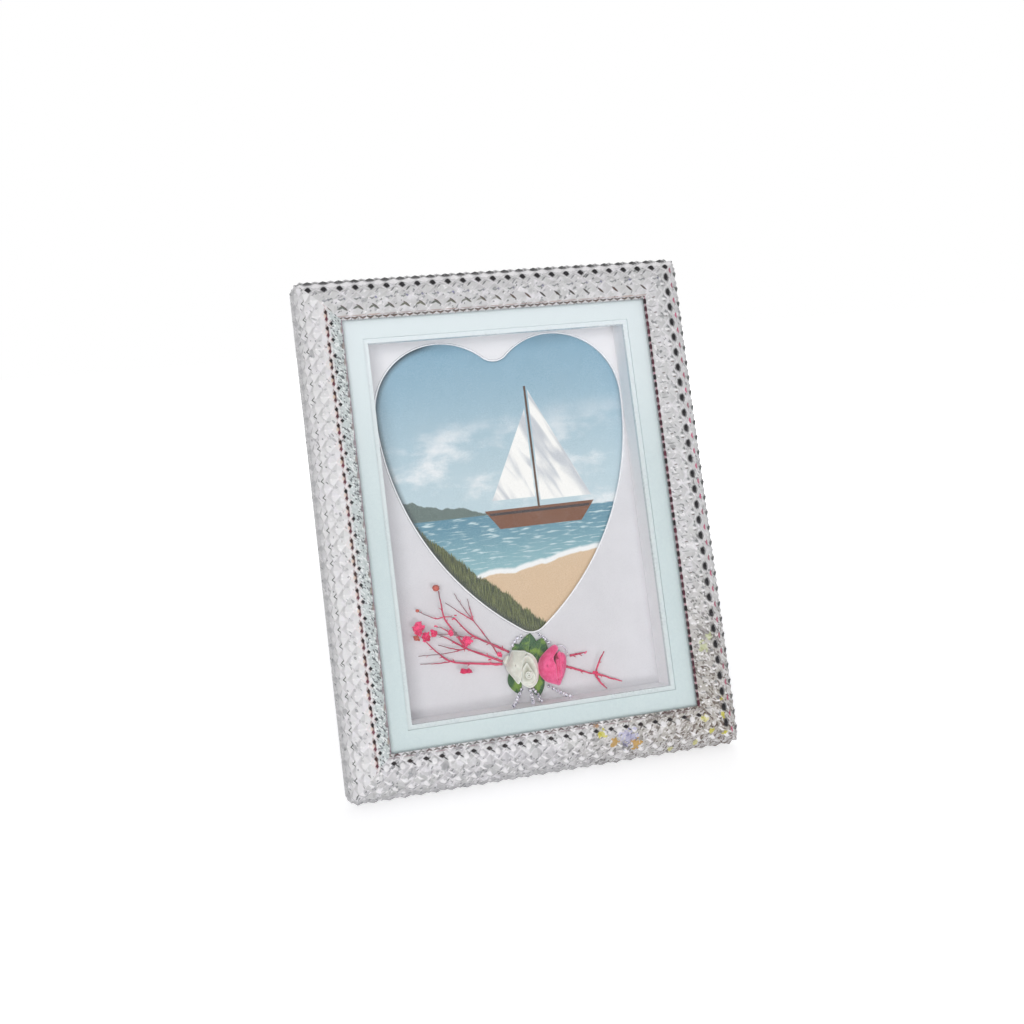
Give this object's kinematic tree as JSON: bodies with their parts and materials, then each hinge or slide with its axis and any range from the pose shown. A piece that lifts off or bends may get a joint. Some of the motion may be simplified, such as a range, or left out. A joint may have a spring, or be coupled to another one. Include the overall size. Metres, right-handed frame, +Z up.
{
  "type": "heart window photo frame",
  "caption": "Table photo frame with a clear cut moulding, a deep glazed box, a mat with a heart window, a small flower spray and a folding easel leg.",
  "frame": {"origin": "on the floor, below the middle of the standing frame's outline", "axes": "+Z up, +Y towards the back where the leg stands, +X to the right seen from the front"},
  "size_m": [0.203, 0.1289, 0.2479],
  "materials": {
    "crystal": "clear, cut in facets, polished",
    "foil": "bright silver foil",
    "pane": "clear, polished",
    "mint_rim": "satin, pale mint with a soft pearl",
    "pearl": "pearl, satin",
    "box_wall": "pearl white, matt",
    "mat": "smooth pearl card",
    "edging": "bright",
    "picture": "glossy print of a plain seaside view",
    "grey_card": "matt",
    "lid_board": "board covered in black flock paper",
    "rear_frame": "satin white",
    "plated_steel": "plated",
    "rivet": "plain",
    "white_petal": "ivory petals",
    "pink_petal": "deep pink petals",
    "leaf": "green cloth leaves",
    "twig": "dyed pink",
    "blossom": "dyed pink",
    "silver_bead": "bright"
  },
  "bodies": {
    "frame": {"crystal_moulding": "crystal", "silver_foil": "foil", "front_pane": "pane", "mint_rim": "mint_rim", "pearl_bead": "pearl", "box_wall_top": "box_wall", "box_wall_bottom": "box_wall", "box_wall_left": "box_wall", "box_wall_right": "box_wall", "heart_mat": "mat", "heart_edging": "edging", "picture": "picture", "backing_card": "grey_card", "back_lid": "lid_board", "rear_frame": "rear_frame", "button_screws": "plated_steel", "hinge_lid_leaf": "plated_steel", "hinge_pin": "plated_steel", "lid_rivets": "rivet", "white_rose": "white_petal", "pink_rose": "pink_petal", "rose_leaves": "leaf", "twigs_left": "twig", "twigs_right": "twig", "blossoms": "blossom", "bead_sprays": "silver_bead"},
    "leg": {"easel_leg": "lid_board", "hinge_leg_leaf": "plated_steel", "leg_rivets": "rivet"},
    "turn_button_left_upper": {"turn_button_left_upper": "plated_steel"},
    "turn_button_left_lower": {"turn_button_left_lower": "plated_steel"},
    "turn_button_right_upper": {"turn_button_right_upper": "plated_steel"},
    "turn_button_right_lower": {"turn_button_right_lower": "plated_steel"},
    "turn_button_top": {"turn_button_top": "plated_steel"},
    "turn_button_bottom": {"turn_button_bottom": "plated_steel"}
  },
  "joints": [
    {"name": "leg_fold", "type": "hinge", "parent": "frame", "child": "leg", "pos_m": [0, 0.01701, 0.15853], "axis": [1, 0, 0], "range_deg": [-33, 0]},
    {"name": "swivel_left_upper", "type": "hinge", "parent": "frame", "child": "turn_button_left_upper", "pos_m": [-0.0845, 0.02163, 0.17859], "axis": [0, 0.9511, -0.309], "continuous": true},
    {"name": "swivel_left_lower", "type": "hinge", "parent": "frame", "child": "turn_button_left_lower", "pos_m": [-0.0845, -0.01545, 0.06446], "axis": [0, 0.9511, -0.309], "continuous": true},
    {"name": "swivel_right_upper", "type": "hinge", "parent": "frame", "child": "turn_button_right_upper", "pos_m": [0.0845, 0.02163, 0.17859], "axis": [0, 0.9511, -0.309], "continuous": true},
    {"name": "swivel_right_lower", "type": "hinge", "parent": "frame", "child": "turn_button_right_lower", "pos_m": [0.0845, -0.01545, 0.06446], "axis": [0, 0.9511, -0.309], "continuous": true},
    {"name": "swivel_top", "type": "hinge", "parent": "frame", "child": "turn_button_top", "pos_m": [0, 0.03705, 0.22604], "axis": [0, 0.9511, -0.309], "continuous": true},
    {"name": "swivel_bottom", "type": "hinge", "parent": "frame", "child": "turn_button_bottom", "pos_m": [0, -0.03087, 0.017], "axis": [0, 0.9511, -0.309], "continuous": true}
  ]
}
